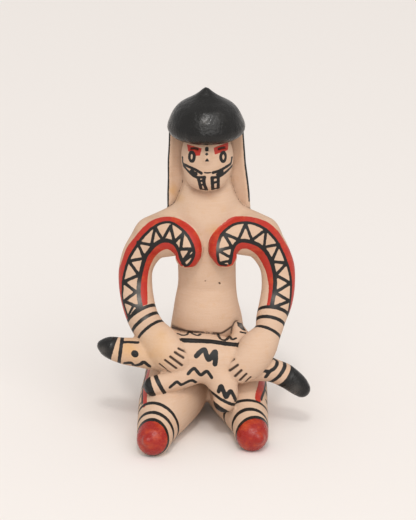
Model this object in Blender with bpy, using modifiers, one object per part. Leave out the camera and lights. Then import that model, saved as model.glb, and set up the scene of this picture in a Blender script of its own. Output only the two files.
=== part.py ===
# Ceramic doll: a seated clay figure with a cap of hair, holding an animal across its lap.
# One solid piece of fired clay. Metres, +Z up, the face looks along -Y, and the origin is
# on the floor under the middle of the doll.

import math

import bmesh
import bpy
from mathutils import Vector

# The one real size, in metres: floor to the point of the cap
HEIGHT = 0.165

# Every other size is in millimetres on a doll 165 mm tall, and grows with HEIGHT
POSE_HEIGHT = 165.0
UNIT = HEIGHT / POSE_HEIGHT
CAP_RADIUS = 18.9          # the cap of hair at its widest
CAP_DEPTH = 23.8           # point of the cap down to its rim
HEAD_WIDTH = 25.0
NOSE_SIZE = 1.5
HAIR_THICKNESS = 6.0       # the slab of hair down the back
HAIR_LENGTH = 52.0
ARM_GIRTH = 1.0            # shares of the modelled girth of each limb
LEG_GIRTH = 1.0
ANIMAL_GIRTH = 1.0
CLAY_GRAIN = 0.85          # how finely the joined clay is remeshed
FACE_SHARE = 0.058         # share of the remeshed faces that is kept

# Stations along each limb: x, y, z and radius
TORSO = [(0, 0, 107, 11.5), (0, 0, 100, 14.5), (0, 0, 88, 14.5), (0, 0, 76, 14.1), (0, 0, 64, 14.3),
         (-0.3, -1.8, 55, 15.7), (0, -3, 47, 17.3), (0, 1, 38, 18.6), (0, 3, 30, 20.5),
         (0, 4, 24, 20.5)]
NECK = [(0, 1.0, 136, 11.0), (0, 2.2, 124, 11.2), (0, 2.8, 115, 11.8), (0.1, 2.2, 109, 13.7),
        (0.3, 1, 100.5, 16.3)]
SHOULDERS = [(-26, -1.0, 91.4, 9.4), (-20, -0.5, 93.8, 9.6), (-11, 0.5, 96.6, 10.3), (0, 1.0, 97.6, 11.0),
             (11, 0.5, 96.6, 10.4), (20, -0.5, 94.0, 9.7), (26, -1.0, 91.6, 9.5)]
ARM_LEFT = [(-9.4, -13.5, 84.6, 5.7), (-8.3, -13.0, 88.8, 6.6), (-11.8, -10.0, 92.4, 8.0),
            (-19.0, -4.5, 92.2, 10.2), (-26.6, -1.5, 88.8, 9.6), (-31.8, -1.0, 82.3, 8.8),
            (-34.6, -2.0, 74.6, 8.3), (-34.7, -4.5, 66.1, 8.1), (-33.5, -8.5, 59.5, 7.9),
            (-31.0, -14.0, 53.3, 7.7), (-26.5, -21.0, 48.2, 7.6), (-21.6, -27.0, 44.3, 7.3)]
ARM_RIGHT = [(8.8, -13.5, 84.8, 5.7), (7.3, -13.0, 88.8, 6.6), (11.0, -10.0, 92.8, 8.0),
             (19.0, -4.5, 92.8, 10.2), (26.1, -1.5, 89.2, 9.6), (31.0, -1.0, 82.9, 8.8),
             (34.2, -2.0, 75.2, 8.3), (34.8, -4.5, 66.6, 8.1), (33.5, -8.5, 59.5, 7.9),
             (31.2, -14.0, 53.3, 7.3), (28.8, -21.0, 48.0, 6.8), (23.7, -27.5, 42.0, 7.2)]
HAND_LEFT = [(-22.5, -26.0, 45.0, 7.3), (-18.0, -31.0, 41.4, 7.5), (-14.9, -33.3, 39.0, 6.4)]
HAND_RIGHT = [(24.3, -26.0, 42.8, 7.3), (19.0, -31.5, 37.8, 7.5), (15.2, -33.6, 34.0, 6.4)]
LEG_LEFT = [(-14.3, 6, 15.2, 16.3), (-15.6, -12, 15.1, 16.2), (-19.5, -28, 12.8, 13.8),
            (-23.2, -43, 9.6, 10.2), (-25.4, -54.7, 7.6, 8.1)]
LEG_RIGHT = [(13.8, 6, 14.6, 15.7), (14.4, -8, 14.2, 15.2), (17.0, -21, 11.8, 12.6),
             (20.0, -35, 8.9, 9.6), (21.6, -49, 7.1, 7.8)]
ANIMAL_BODY = [(-50.0, -22.5, 42.3, 3.2), (-46.7, -23.0, 41.5, 5.2), (-40.9, -24.0, 40.4, 6.3),
               (-34.0, -24.5, 39.8, 7.0), (-25.0, -25.0, 39.0, 7.9), (-14.0, -24.5, 38.8, 10.0),
               (1.5, -24.5, 36.6, 11.5), (14.0, -24.8, 34.9, 10.2), (25.0, -26.0, 32.8, 6.9),
               (32.0, -25.5, 30.6, 5.8), (38.0, -25.5, 27.8, 5.7), (43.2, -26.0, 24.0, 5.2),
               (46.0, -26.3, 21.4, 4.2)]
ANIMAL_LEGS = [
    [(-2.0, -29.0, 33.5, 6.5), (-7.5, -31.0, 31.8, 6.0), (-15.0, -33.5, 29.0, 5.2),
     (-25.8, -35.5, 26.7, 4.7)],
    [(2.0, -29.5, 32.5, 6.5), (6.0, -33.0, 28.0, 6.3), (8.6, -35.5, 23.0, 6.0), (8.4, -37.2, 19.3, 5.3)],
    [(-13.1, -19.0, 40.8, 4.8), (-16.0, -17.0, 43.5, 4.0), (-18.6, -15.5, 45.3, 3.0)],
    [(17.0, -22.0, 38.5, 6.2), (16.2, -18.0, 44.0, 5.3), (14.8, -11.8, 48.8, 3.0)],
]

# How far a form is flattened: its depth as a share of its width
TORSO_DEPTH_SHARE = 0.84
NECK_DEPTH_SHARE = 0.74
ARM_DEPTH_SHARE = 0.88
HAND_DEPTH_SHARE = 0.62

# Cap profile: radius and drop below the point, as shares of CAP_RADIUS and CAP_DEPTH
CAP_PROFILE_SHARES = [(0.0, -0.03), (0.06, 0.0), (0.16, 0.075), (0.28, 0.15), (0.48, 0.24),
                      (0.70, 0.33), (0.85, 0.48), (0.94, 0.65), (1.01, 0.80), (0.94, 0.92),
                      (0.80, 1.0), (0.66, 1.03), (0.5, 0.93), (0.0, 0.9)]
CAP_SHIFT = -0.35

CAP_RIM = POSE_HEIGHT - CAP_DEPTH
HEAD_DROP = 10.3           # middle of the head below the cap's rim
HEAD_CENTRE = (0.1, -1.8, CAP_RIM - HEAD_DROP)
HEAD_AXIS_SHARES = (1.0, 0.93, 1.31)     # width, depth and height as shares of HEAD_WIDTH
NOSE_RISE = 3.6                    # tip of the nose above the middle of the head
NOSE_LENGTH_SHARE = 1.4            # its height as a share of its width
CHIN_FORWARD = 3.2                 # middle of the chin in front of the middle of the head
CHIN_DROP = 9.2                    # and below it
CHIN_AXIS_SHARES = (0.68, 0.50, 0.40)
HAIR_TOP = CAP_RIM + 4.3           # hidden inside the cap
HAIR_BACK = 9.8                    # middle of the slab behind the figure's axis
HAIR_WRAP = 4.5                    # how far its edges come forward round the head
HAIR_EDGES = [(-18.1, 17.5), (-18.9, 18.6), (-19.2, 20.7), (-19.3, 21.4)]
TOE_SIZES = [2.9, 3.1]      # left and right
TOE_PLACE_SHARES = [(-0.31, -0.79, 0.25), (0.46, -0.73, 0.23)]     # of the foot's radius
RING_STEPS = 40


def mm(*values):
    """Pose millimetres turned into metres on this doll."""
    return Vector(value * UNIT for value in values)


def clear_scene():
    for obj in list(bpy.data.objects):
        bpy.data.objects.remove(obj, do_unlink=True)


def new_collection(name):
    collection = bpy.data.collections.new(name)
    bpy.context.scene.collection.children.link(collection)
    return collection


def add_mesh_object(name, fill):
    """A new object whose mesh is filled in by fill(bmesh)."""
    mesh = bpy.data.meshes.new(name)
    shape = bmesh.new()
    fill(shape)
    shape.to_mesh(mesh)
    shape.free()
    obj = bpy.data.objects.new(name, mesh)
    bpy.context.scene.collection.objects.link(obj)
    return obj


def ball(name, centre, axes):
    obj = add_mesh_object(name, lambda shape: bmesh.ops.create_icosphere(shape, subdivisions=4, radius=1.0))
    obj.location = centre
    obj.scale = axes
    return obj


def limb(name, stations, girth=1.0, depth=1.0):
    """A round tube through the stations with a ball on each end, flattened in Y by depth."""
    curve = bpy.data.curves.new(name, 'CURVE')
    curve.dimensions = '3D'
    curve.bevel_depth = UNIT
    curve.bevel_resolution = 6
    curve.resolution_u = 10
    curve.render_resolution_u = 0
    curve.use_fill_caps = True
    spline = curve.splines.new('BEZIER')
    spline.bezier_points.add(len(stations) - 1)
    for point, (x, y, z, radius) in zip(spline.bezier_points, stations):
        point.co = mm(x, y / depth, z)
        point.radius = radius * girth
        point.handle_left_type = point.handle_right_type = 'AUTO'
    tube = bpy.data.objects.new(name, curve)
    tube.scale = (1.0, depth, 1.0)
    bpy.context.scene.collection.objects.link(tube)
    ends = []
    for index in (0, -1):
        x, y, z, radius = stations[index]
        size = radius * girth
        ends.append(ball(name + '_end', mm(x, y, z), mm(size, size * depth, size)))
    return [tube] + ends


def cap_of_hair():
    """The turned cap: its profile spun round the figure's axis."""
    def profile(shape):
        points = [shape.verts.new(mm(share * CAP_RADIUS, 0, POSE_HEIGHT - drop * CAP_DEPTH))
                  for share, drop in CAP_PROFILE_SHARES]
        for upper, lower in zip(points, points[1:]):
            shape.edges.new((upper, lower))
    cap = add_mesh_object('cap', profile)
    rounding = cap.modifiers.new('rounding', 'SUBSURF')
    rounding.levels = rounding.render_levels = 2
    spin = cap.modifiers.new('spin', 'SCREW')
    spin.steps = spin.render_steps = RING_STEPS
    spin.use_merge_vertices = True
    spin.merge_threshold = 0.00001
    cap.location = mm(CAP_SHIFT, 0, 0)
    return [cap]


def hair_slab():
    """The long hair: a thick sheet that hangs behind the head and wraps a little round it."""
    columns, rows = 8, len(HAIR_EDGES) - 1

    def sheet(shape):
        grid = bmesh.ops.create_grid(shape, x_segments=columns, y_segments=rows, size=0.5)
        for vertex in grid['verts']:
            across, down = vertex.co.x + 0.5, 0.5 - vertex.co.y
            left, right = HAIR_EDGES[round(down * rows)]
            x = left + (right - left) * across
            y = HAIR_BACK - HAIR_WRAP * (2 * across - 1) ** 2
            vertex.co = mm(x, y, HAIR_TOP - HAIR_LENGTH * down)
    hair = add_mesh_object('hair', sheet)
    wall = hair.modifiers.new('wall', 'SOLIDIFY')
    wall.thickness = HAIR_THICKNESS * UNIT
    wall.offset = 0.0
    edges = hair.modifiers.new('edges', 'BEVEL')
    edges.width = HAIR_THICKNESS * UNIT * 0.35
    edges.segments = 3
    edges.limit_method = 'ANGLE'
    return [hair]


def head():
    """The egg of the head with a small nose on the front of it and a chin that stands over the neck."""
    width, depth, height = [share * HEAD_WIDTH / 2 for share in HEAD_AXIS_SHARES]
    x, y, z = HEAD_CENTRE
    front = y - depth * math.sqrt(1 - (NOSE_RISE / height) ** 2)
    nose_axes = mm(NOSE_SIZE, NOSE_SIZE, NOSE_SIZE * NOSE_LENGTH_SHARE)
    chin_axes = mm(*[share * HEAD_WIDTH / 2 for share in CHIN_AXIS_SHARES])
    return [ball('head', mm(x, y, z), mm(width, depth, height)),
            ball('nose', mm(x, front, z + NOSE_RISE), nose_axes),
            ball('chin', mm(x, y - CHIN_FORWARD, z - CHIN_DROP), chin_axes)]


def toes():
    """A small knob on the front of each foot, set on the ball that ends the leg."""
    knobs = []
    for foot, place, size in zip((LEG_LEFT[-1], LEG_RIGHT[-1]), TOE_PLACE_SHARES, TOE_SIZES):
        x, y, z, radius = foot
        right, back, up = place
        reach = radius * LEG_GIRTH
        centre = mm(x + reach * right, y + reach * back, z + reach * up)
        knobs.append(ball('toe', centre, mm(size, size, size)))
    return knobs


def figure_forms():
    """Every lump of clay that the figure is built up from."""
    forms = limb('torso', TORSO, depth=TORSO_DEPTH_SHARE)
    forms += limb('neck', NECK, depth=NECK_DEPTH_SHARE)
    forms += limb('shoulders', SHOULDERS, depth=ARM_DEPTH_SHARE)
    forms += head() + cap_of_hair() + hair_slab()
    for side, arm, hand in (('left', ARM_LEFT, HAND_LEFT), ('right', ARM_RIGHT, HAND_RIGHT)):
        forms += limb('arm_' + side, arm, ARM_GIRTH, ARM_DEPTH_SHARE)
        forms += limb('hand_' + side, hand, ARM_GIRTH, HAND_DEPTH_SHARE)
    forms += limb('leg_left', LEG_LEFT, LEG_GIRTH) + limb('leg_right', LEG_RIGHT, LEG_GIRTH)
    forms += toes() + limb('animal', ANIMAL_BODY, ANIMAL_GIRTH)
    for stations in ANIMAL_LEGS:
        forms += limb('animal_leg', stations, ANIMAL_GIRTH)
    return forms


def joined(name, forms):
    """One mesh holding every form in its place; the forms themselves are removed."""
    depsgraph = bpy.context.evaluated_depsgraph_get()
    clay = bmesh.new()
    for form in forms:
        mesh = bpy.data.meshes.new_from_object(form.evaluated_get(depsgraph))
        mesh.transform(form.matrix_world)
        clay.from_mesh(mesh)
        bpy.data.meshes.remove(mesh)
    bmesh.ops.remove_doubles(clay, verts=clay.verts, dist=0.000001)
    bmesh.ops.recalc_face_normals(clay, faces=clay.faces)
    mesh = bpy.data.meshes.new(name)
    clay.to_mesh(mesh)
    clay.free()
    for form in forms:
        bpy.data.objects.remove(form, do_unlink=True)
    return bpy.data.objects.new(name, mesh)


def floor_cutter(collection):
    """A block under the floor, which cuts the seat and the legs off flat."""
    def block(shape):
        bmesh.ops.create_cube(shape, size=HEIGHT * 2)
    cutter = add_mesh_object('floor_cutter', block)
    bpy.context.scene.collection.objects.unlink(cutter)
    collection.objects.link(cutter)
    cutter.location = (0, 0, -HEIGHT)
    cutter.hide_render = True
    cutter.display_type = 'WIRE'
    return cutter


def clay_material():
    material = bpy.data.materials.new('fired_clay')
    material.use_nodes = True
    shader = material.node_tree.nodes['Principled BSDF']
    shader.inputs['Base Color'].default_value = (0.62, 0.42, 0.28, 1)
    shader.inputs['Roughness'].default_value = 0.8
    shader.inputs['Metallic'].default_value = 0.0
    return material


def finish_clay(doll, cutter):
    """Fuse the forms, smooth the joins as wet clay is smoothed, thin the faces and cut the seat flat."""
    fuse = doll.modifiers.new('fuse', 'REMESH')
    fuse.mode = 'VOXEL'
    fuse.voxel_size = CLAY_GRAIN * UNIT
    smooth = doll.modifiers.new('smooth', 'SMOOTH')
    smooth.factor = 0.5
    smooth.iterations = 8
    thin = doll.modifiers.new('thin', 'DECIMATE')
    thin.ratio = FACE_SHARE
    thin.use_collapse_triangulate = True
    seat = doll.modifiers.new('seat', 'BOOLEAN')
    seat.operation = 'DIFFERENCE'
    seat.solver = 'EXACT'
    seat.object = cutter


def centre_over_origin(doll):
    """Move the doll sideways until the middle of its plan is over the origin."""
    bpy.context.view_layer.update()
    shown = doll.evaluated_get(bpy.context.evaluated_depsgraph_get())
    corners = [Vector(corner) for corner in shown.bound_box]
    for axis in (0, 1):
        values = [corner[axis] for corner in corners]
        doll.location[axis] = -(min(values) + max(values)) / 2


def main():
    clear_scene()
    parts = new_collection('ceramic_doll')
    cutters = new_collection('cutters')
    doll = joined('ceramic_doll', figure_forms())
    parts.objects.link(doll)
    doll.data.materials.append(clay_material())
    finish_clay(doll, floor_cutter(cutters))
    centre_over_origin(doll)


main()
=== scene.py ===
import bpy
import numpy as np
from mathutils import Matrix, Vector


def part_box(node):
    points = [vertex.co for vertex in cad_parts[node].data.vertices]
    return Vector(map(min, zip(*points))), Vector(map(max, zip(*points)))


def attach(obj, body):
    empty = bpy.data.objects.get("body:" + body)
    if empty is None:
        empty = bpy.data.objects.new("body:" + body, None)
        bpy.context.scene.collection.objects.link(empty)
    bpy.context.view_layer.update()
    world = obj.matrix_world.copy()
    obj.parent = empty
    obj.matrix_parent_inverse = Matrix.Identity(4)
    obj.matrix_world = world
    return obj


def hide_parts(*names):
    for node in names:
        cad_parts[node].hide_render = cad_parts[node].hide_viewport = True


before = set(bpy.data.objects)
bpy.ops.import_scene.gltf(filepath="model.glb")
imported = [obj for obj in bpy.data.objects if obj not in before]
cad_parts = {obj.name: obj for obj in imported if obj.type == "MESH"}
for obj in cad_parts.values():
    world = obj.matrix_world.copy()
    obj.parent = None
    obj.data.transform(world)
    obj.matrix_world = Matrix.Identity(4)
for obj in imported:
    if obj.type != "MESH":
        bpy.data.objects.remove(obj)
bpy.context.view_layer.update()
lowCorner, highCorner = [np.array(corner) * 1000 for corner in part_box("ceramic_doll")]
print("frame loaded")

# How the photograph was taken: marks are read off it in its pixels
photograph = {
    "middle": (208.0, 260.0),
    "mmPerPixel": 0.4857,          # at the doll's axis
    "aim": (0.49, 0.0, 78.04),     # mm, the point in the middle of the picture
    "distance": 1200.0,            # mm
    "downwardTilt": 20.0,          # degrees
    "lens": 171.04,
    "brushSwell": 0.7,             # pixels added to every stroke, for the paint's soft edge
}

tilt = np.radians(photograph["downwardTilt"])
towardEye = np.array([0.0, -np.cos(tilt), np.sin(tilt)])
pictureUp = np.array([0.0, np.sin(tilt), np.cos(tilt)])
pictureRight = np.array([1.0, 0.0, 0.0])
eyePlace = np.array(photograph["aim"]) + towardEye * photograph["distance"]

# Stations along each limb: x, y, z and radius in mm
limbShapes = {
    "torso": [
        (0, 0, 107, 11.5), (0, 0, 100, 14.5), (0, 0, 88, 14.5), (0, 0, 76, 14.1), (0, 0, 64, 14.3),
        (-0.3, -1.8, 55, 15.7), (0, -3, 47, 17.3), (0, 1, 38, 18.6), (0, 3, 30, 20.5), (0, 4, 24, 20.5)],
    "neck": [
        (0, 1.0, 136, 11.0), (0, 2.2, 124, 11.2), (0, 2.8, 115, 11.8), (0.1, 2.2, 109, 13.7),
        (0.3, 1, 100.5, 16.3)],
    "shoulders": [
        (-26, -1.0, 91.4, 9.4), (-20, -0.5, 93.8, 9.6), (-11, 0.5, 96.6, 10.3), (0, 1.0, 97.6, 11.0),
        (11, 0.5, 96.6, 10.4), (20, -0.5, 94.0, 9.7), (26, -1.0, 91.6, 9.5)],
    "armLeft": [
        (-9.4, -13.5, 84.6, 5.7), (-8.3, -13.0, 88.8, 6.6), (-11.8, -10.0, 92.4, 8.0),
        (-19.0, -4.5, 92.2, 10.2), (-26.6, -1.5, 88.8, 9.6), (-31.8, -1.0, 82.3, 8.8),
        (-34.6, -2.0, 74.6, 8.3), (-34.7, -4.5, 66.1, 8.1), (-33.5, -8.5, 59.5, 7.9),
        (-31.0, -14.0, 53.3, 7.7), (-26.5, -21.0, 48.2, 7.6), (-21.6, -27.0, 44.3, 7.3)],
    "armRight": [
        (8.8, -13.5, 84.8, 5.7), (7.3, -13.0, 88.8, 6.6), (11.0, -10.0, 92.8, 8.0),
        (19.0, -4.5, 92.8, 10.2), (26.1, -1.5, 89.2, 9.6), (31.0, -1.0, 82.9, 8.8),
        (34.2, -2.0, 75.2, 8.3), (34.8, -4.5, 66.6, 8.1), (33.5, -8.5, 59.5, 7.9),
        (31.2, -14.0, 53.3, 7.2), (29.1, -21.0, 48.0, 6.4), (23.7, -27.5, 42.0, 7.2)],
    "handLeft": [
        (-22.5, -26.0, 45.0, 7.3), (-18.0, -31.0, 41.4, 7.5), (-14.9, -33.3, 39.0, 6.4)],
    "handRight": [
        (24.3, -26.0, 42.6, 7.4), (19.8, -31.6, 36.8, 7.9), (16.4, -33.6, 34.3, 6.8)],
    "legLeft": [
        (-14.3, 6, 15.2, 16.3), (-15.6, -12, 15.1, 16.2), (-19.5, -28, 12.8, 13.8),
        (-23.2, -43, 9.6, 10.2), (-25.4, -54.7, 7.6, 8.1)],
    "legRight": [
        (13.8, 6, 14.6, 15.7), (14.4, -8, 14.2, 15.2), (17.0, -21, 11.8, 12.6),
        (20.0, -35, 8.9, 9.6), (21.6, -49, 7.1, 7.8)],
    "animalBody": [
        (-50.0, -22.5, 42.3, 3.2), (-46.7, -23.0, 41.5, 5.2), (-40.9, -24.0, 40.4, 6.3),
        (-34.0, -24.5, 39.8, 7.0), (-25.0, -25.0, 39.0, 7.9), (-14.0, -24.5, 38.8, 10.0),
        (1.5, -24.5, 36.6, 11.5), (14.0, -24.8, 34.9, 10.2), (25.0, -26.0, 32.8, 6.9),
        (32.0, -25.5, 30.6, 5.8), (38.0, -25.5, 27.8, 5.7), (43.2, -26.0, 24.0, 5.2),
        (46.0, -26.3, 21.4, 4.2)],
    "animalLegLowLeft": [
        (-2.0, -29.0, 33.5, 6.5), (-7.5, -31.0, 31.8, 6.0), (-15.0, -33.5, 29.0, 5.2),
        (-25.8, -35.5, 26.7, 4.7)],
    "animalLegLowRight": [
        (2.4, -29.5, 32.5, 6.8), (6.8, -33.0, 28.2, 6.9), (8.9, -35.5, 23.2, 6.1), (8.4, -37.2, 19.3, 5.3)],
    "animalLegHighLeft": [
        (-13.1, -19.0, 40.8, 4.8), (-16.0, -17.0, 43.5, 4.0), (-18.6, -15.5, 45.3, 3.0)],
    "animalLegHighRight": [
        (17.2, -22.0, 38.5, 6.2), (16.6, -18.0, 43.6, 4.9), (15.0, -12.2, 48.2, 2.5)],
}

# Front to back as a share of the width, where a limb isn't round
limbDepths = {"torso": 0.84, "neck": 0.74, "shoulders": 0.88, "armLeft": 0.88, "armRight": 0.88,
              "handLeft": 0.62, "handRight": 0.62}

headShapes = {
    "head": {"centre": (0.1, -1.8, 130.9), "axes": (12.5, 11.62, 16.37)},
    "chin": {"centre": (0.1, -5.0, 121.7), "axes": (8.5, 6.3, 5.0)},
    "nose": {"centre": (0.1, -12.9, 134.5), "axes": (1.5, 1.5, 2.2)},
    "toeLeft": {"centre": (-27.9, -61.1, 9.6), "axes": (2.9, 2.9, 2.9)},
    "toeRight": {"centre": (24.4, -54.9, 8.0), "axes": (3.1, 3.1, 3.1)},
}

hairShape = {
    "capRadius": 18.9,
    "capDepth": 23.8,
    "capShift": -0.35,
    "top": 165.0,
    # radius and drop below the point, as shares of capRadius and capDepth
    "capProfile": [
        (0.0, -0.03), (0.06, 0.0), (0.16, 0.075), (0.28, 0.15), (0.48, 0.24), (0.70, 0.33), (0.85, 0.48),
        (0.94, 0.65), (1.01, 0.80), (0.94, 0.92), (0.80, 1.0), (0.66, 1.03), (0.5, 0.93), (0.0, 0.9)],
    "slabTop": 145.5,
    "slabLength": 52.0,
    "slabThickness": 6.0,
    "slabBack": 9.8,
    "slabWrap": 4.5,
    "blackEdges": (0.8, 0.8),      # mm of black on the front beside each edge, left and right
    "rightEdgeEnds": 107.0,        # mm above the floor where the black beside the right edge stops
    "bareFacing": 0.8,             # the front stays bare where it faces forward by more than this
    "backFacing": 0.3,             # the back is black where it faces backward by more than this
    "facingSpread": (2.6, 3.0),    # mm for a unit of facing, at those two edges
    "backReach": 1.5,              # mm off the slab that the back's black reaches
    "slabEdges": [(-18.1, 17.5), (-18.9, 18.6), (-19.2, 20.7), (-19.3, 21.4)],
}

surfaceFinish = {
    "grain": 1.2,             # mm, size of the faces before the painted edges are refined
    "smoothing": 0.55,        # how far each pass moves a point towards its neighbours
    "edgeReach": 0.75,        # mm beside a painted edge that is refined
    "fineReach": 0.4,         # mm beside the edges of face marks and pressed lines, refined twice
    "soilAndShadeShown": 0.4,         # crease darkness, dirt and painted shade together, above this strength is refined
    "unevenness": 0.12,       # mm, how far the hand-smoothed clay wanders
    # each wave's direction, in radians to a mm, and its start
    "waves": [((0.31, 0.22, 0.17), 0.4), ((-0.18, 0.35, 0.26), 1.9), ((0.12, -0.2, 0.41), 3.1),
              ((0.55, 0.3, -0.35), 5.0)],
    "pressDepth": 0.75,       # mm, how deep the lines between the fingers are pressed
    "pressEdge": 0.35,        # mm beside a pressed line over which it slopes
}
# Millimetres over which two forms are worked together while the clay is soft
joinWidths = {
    "neck": 4.0, "shoulders": 3.0, "toe": 1.0, "legs": 1.2, "seat": 4.0, "animal": 1.0, "hand": 7.0,
    "chin": 4.0, "nose": 2.8, "head": 1.0, "slab": 0.9, "cap": 0.6,
    "animalLegs": {"LowLeft": 2.5, "LowRight": 2.5, "HighLeft": 4.0, "HighRight": 3.5},
}
# How much dirt and painted shade lies in each join, from 0 to 1; belly and chin are added to animal and head
joinSoilAndShade = {"animal": 0.4, "belly": 0.6, "arm": 0.35, "head": 0.3, "chin": 0.25, "slab": 0.8, "cap": 0.6}
farAway = 60.0                # mm, the distance given to what isn't near
margin = 9.0                  # mm round a form in which its distance is worked out
pathSteps = 8                 # steps between two stations of a limb


def placed(name, data):
    # A new object that holds this data, put into the scene
    item = bpy.data.objects.new(name, data)
    bpy.context.scene.collection.objects.link(item)
    return item


def curveFrom(stations, steps, blend):
    # Between two stations the curve blends the four nearest ones; the two ends are kept
    p = np.array(stations, float)
    p = np.vstack([2 * p[0] - p[1], p, 2 * p[-1] - p[-2]])
    t = (np.arange(steps) / steps)[None, :, None]
    curve = blend(t, *[p[i:len(p) - 3 + i, None, :] for i in range(4)])
    return np.vstack([curve.reshape(-1, p.shape[1]), p[-2:-1]])


def splinePath(stations, steps):
    # Catmull-Rom: between two stations each value is a cubic that also leans on the stations before and after
    return curveFrom(stations, steps, lambda t, a, b, c, d: 0.5 * (
        2 * b + (c - a) * t + (2 * a - 5 * b + 4 * c - d) * t ** 2 + (3 * b - a - 3 * c + d) * t ** 3))


def roundedPath(controls, steps):
    # Uniform B-spline: each point is a blend of four neighbouring controls
    return curveFrom(controls, steps, lambda t, a, b, c, d: (
        (1 - t) ** 3 * a + (3 * t ** 3 - 6 * t ** 2 + 4) * b
        + (-3 * t ** 3 + 3 * t ** 2 + 3 * t + 1) * c + t ** 3 * d) / 6)


def unit(vectors):
    return vectors / np.maximum(np.linalg.norm(vectors, axis=-1, keepdims=True), 1e-9)


def turn(count):
    # Angles once round, as a row
    return np.linspace(0, 2 * np.pi, count, endpoint=False)[None, :]


def ringSurface(rings):
    # rings[i, j] is point j of ring i. Quads join each ring to the next; a ring closes on itself, and the
    # first and last shrink to a pole, so the skin is closed
    rows, columns = rings.shape[:2]
    r, c = np.meshgrid(np.arange(rows - 1), np.arange(columns), indexing="ij")
    after = (c + 1) % columns
    corners = [r * columns + c, r * columns + after, (r + 1) * columns + after, (r + 1) * columns + c]
    return rings.reshape(-1, 3), np.stack(corners, -1).reshape(-1, 4)


def limbSkin(limb, sides=28, domeRows=6):
    # A circle of the path's radius carried along it, ended by two domes whose rings are radius * cos(a),
    # set radius * sin(a) past the end
    path = splinePath(limb["stations"], 6)
    path[:, 1] /= limb["depth"]
    along = unit(np.gradient(path[:, :3], axis=0))
    lift = np.sin(np.linspace(np.pi / 2, 0, domeRows, endpoint=False))
    shrink = np.sqrt(1 - lift ** 2)
    ends = [(0, -1, lift, shrink), (-1, 1, lift[::-1], shrink[::-1])]
    domes = [np.column_stack([path[i, :3] + sign * along[i] * path[i, 3] * up[:, None], path[i, 3] * small])
             for i, sign, up, small in ends]
    path = np.vstack([domes[0], path, domes[1]])
    along = np.vstack([np.repeat(along[:1], domeRows, 0), along, np.repeat(along[-1:], domeRows, 0)])
    lead = np.eye(3)[np.abs(along).max(0).argmin()]
    first = unit(np.cross(along, lead))
    second = np.cross(along, first)
    a = turn(sides)[..., None]
    rings = path[:, None, :3] + path[:, None, 3:] * (np.cos(a) * first[:, None] + np.sin(a) * second[:, None])
    rings[..., 1] *= limb["depth"]
    return ringSurface(rings)


def eggSkin(egg, rows=20, sides=32):
    # Rings of radius sin(a) at height cos(a), stretched by the three axes
    a = np.linspace(0, np.pi, rows)[:, None]
    b = turn(sides)
    rings = np.stack([np.sin(a) * np.cos(b), np.sin(a) * np.sin(b), np.cos(a) * np.ones_like(b)], -1)
    return ringSurface(rings * np.array(egg["axes"]) + np.array(egg["centre"]))


def capProfile():
    profile = roundedPath(hairShape["capProfile"], 10)
    profile = profile * [hairShape["capRadius"], -hairShape["capDepth"]] + [0.0, hairShape["top"]]
    profile[:, 0] = np.maximum(profile[:, 0], 0.0)
    return profile


def capSkin(sides=72):
    # The profile turned about the upright axis: x = r cos(a), y = r sin(a)
    profile = capProfile()
    a = turn(sides)
    radius, height = profile[:, :1], profile[:, 1:]
    x = radius * np.cos(a) + hairShape["capShift"]
    return ringSurface(np.stack([x, radius * np.sin(a), height * np.ones_like(a)], -1))


def slabMiddle(x, z):
    # Middle sheet of the hair: where across and down it is, its depth y, and its half width at that height
    down = np.clip((hairShape["slabTop"] - z) / hairShape["slabLength"], 0, 1)
    edges = np.array(hairShape["slabEdges"])
    stops = np.linspace(0, 1, len(edges))
    left, right = np.interp(down, stops, edges[:, 0]), np.interp(down, stops, edges[:, 1])
    across = (x - left) / (right - left)
    y = hairShape["slabBack"] - hairShape["slabWrap"] * (2 * across - 1) ** 2
    return left, right, y


def slabSkin(rows=28, sides=40):
    # A rounded-rectangle outline hung row by row down the slab; the end rows shrink to closed lines
    z = hairShape["slabTop"] - hairShape["slabLength"] * np.linspace(0, 1, rows)[:, None]
    a = turn(sides)
    outline = lambda value: np.sign(value) * np.abs(value) ** 0.3
    left, right, _ = slabMiddle(np.zeros_like(z), z)
    x = (left + right) / 2 + (right - left) / 2 * outline(np.cos(a))
    y = slabMiddle(x, z)[2] + hairShape["slabThickness"] / 2 * outline(np.sin(a))
    rings = np.stack([x, y, z * np.ones_like(a)], -1)
    middle = rings.mean(1, keepdims=True) * np.ones_like(rings)
    return ringSurface(np.concatenate([middle[:1], rings, middle[-1:]]))


def nothingNear(points):
    return np.full(len(points), farAway), np.zeros((len(points), 3))


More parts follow.
